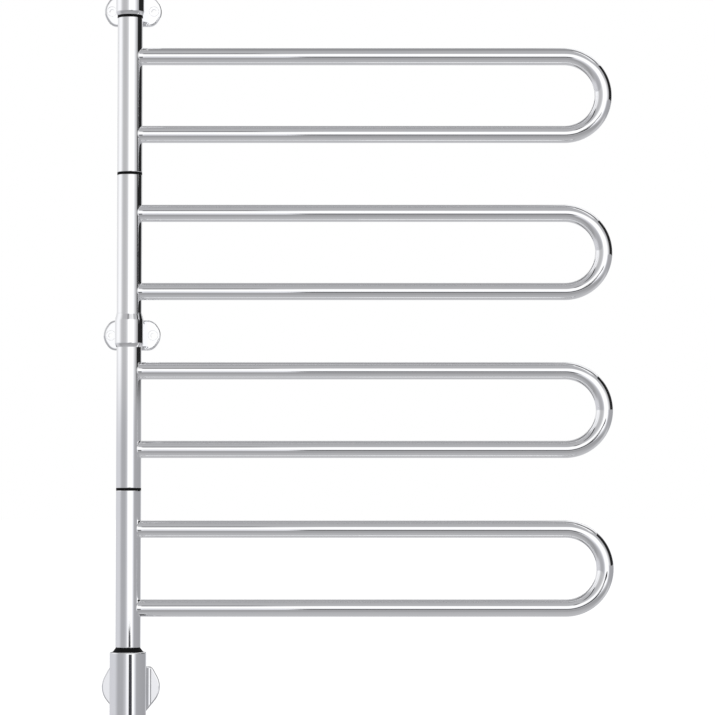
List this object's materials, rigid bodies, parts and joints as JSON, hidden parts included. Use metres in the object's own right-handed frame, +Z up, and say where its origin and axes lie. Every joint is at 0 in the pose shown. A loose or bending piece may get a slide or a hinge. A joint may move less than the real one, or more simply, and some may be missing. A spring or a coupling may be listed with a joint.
{
  "type": "electric heated towel rail",
  "caption": "Wall-mounted chrome heated towel rail: a vertical post on stand-off plates carries U-shaped tubular arms that swing on it, over a housing with a push switch.",
  "frame": {"origin": "on the wall, behind the axis of the bottom bracket's stem", "axes": "+Z up along the post, the wall is the plane Y = 0 with +Y into it, the front faces -Y, and the arms lie along +X at rest"},
  "size_m": [0.5228, 0.0585, 0.7972],
  "materials": {
    "chrome": "polished",
    "nylon": "black moulded nylon",
    "steel": "bare drawn or machined steel",
    "brass": "machined",
    "moulding": "dark moulded plastic",
    "terminal": "pale moulded plastic",
    "cutout": "dark moulded plastic",
    "lens": "red clear moulding",
    "cable": "silicone rubber sheath",
    "wire_brown": "insulated wire",
    "wire_blue": "insulated wire",
    "wire_green": "insulated wire",
    "wire_black": "insulated wire"
  },
  "bodies": {
    "post": {"core_tube": "steel", "core_hub": "steel", "hub_screws": "steel", "ring_top": "nylon", "ring_upper": "nylon", "ring_middle": "nylon", "ring_lower": "nylon", "cone_seal": "nylon", "middle_collar": "chrome", "top_collar": "chrome", "top_collar_screw": "steel", "top_cap": "chrome", "top_plate": "chrome", "middle_plate": "chrome", "bottom_plate": "chrome", "top_stem": "chrome", "middle_stem": "chrome", "bottom_stem": "chrome", "stem_screws": "steel", "socket_screw": "steel", "housing": "chrome", "base_cap": "chrome", "base_screws": "steel", "switch_body": "moulding", "switch_nut": "steel", "indicator_ring": "lens", "switch_leads": "wire_black", "cable_gland": "moulding", "gland_nut": "steel", "carrier": "moulding", "terminal_block": "terminal", "terminal_screws": "brass", "thermal_cutout": "cutout", "live_wire": "wire_brown", "neutral_wire": "wire_blue", "earth_wire": "wire_green", "earth_tag": "brass", "earth_screw": "brass"},
    "arm_1": {"arm_1_sleeve": "chrome", "arm_1_tube": "chrome", "arm_1_heater": "cable"},
    "arm_2": {"arm_2_sleeve": "chrome", "arm_2_tube": "chrome", "arm_2_heater": "cable"},
    "arm_3": {"arm_3_sleeve": "chrome", "arm_3_tube": "chrome", "arm_3_heater": "cable"},
    "arm_4": {"arm_4_sleeve": "chrome", "arm_4_tube": "chrome", "arm_4_heater": "cable"},
    "button": {"push_button": "moulding"}
  },
  "joints": [
    {"name": "arm_1_swing", "type": "hinge", "parent": "post", "child": "arm_1", "pos_m": [0, -0.04, 0.605], "axis": [0, 0, 1], "range_deg": [-180, 0]},
    {"name": "arm_2_swing", "type": "hinge", "parent": "post", "child": "arm_2", "pos_m": [0, -0.04, 0.444], "axis": [0, 0, 1], "range_deg": [-180, 0]},
    {"name": "arm_3_swing", "type": "hinge", "parent": "post", "child": "arm_3", "pos_m": [0, -0.04, 0.283], "axis": [0, 0, 1], "range_deg": [-180, 0]},
    {"name": "arm_4_swing", "type": "hinge", "parent": "post", "child": "arm_4", "pos_m": [0, -0.04, 0.122], "axis": [0, 0, 1], "range_deg": [-180, 0]},
    {"name": "button_press", "type": "slide", "parent": "post", "child": "button", "axis": [0, 0, 1], "range_m": [0, 0.0015], "stiffness_N_per_m": 800, "springref_m": -0.002}
  ]
}
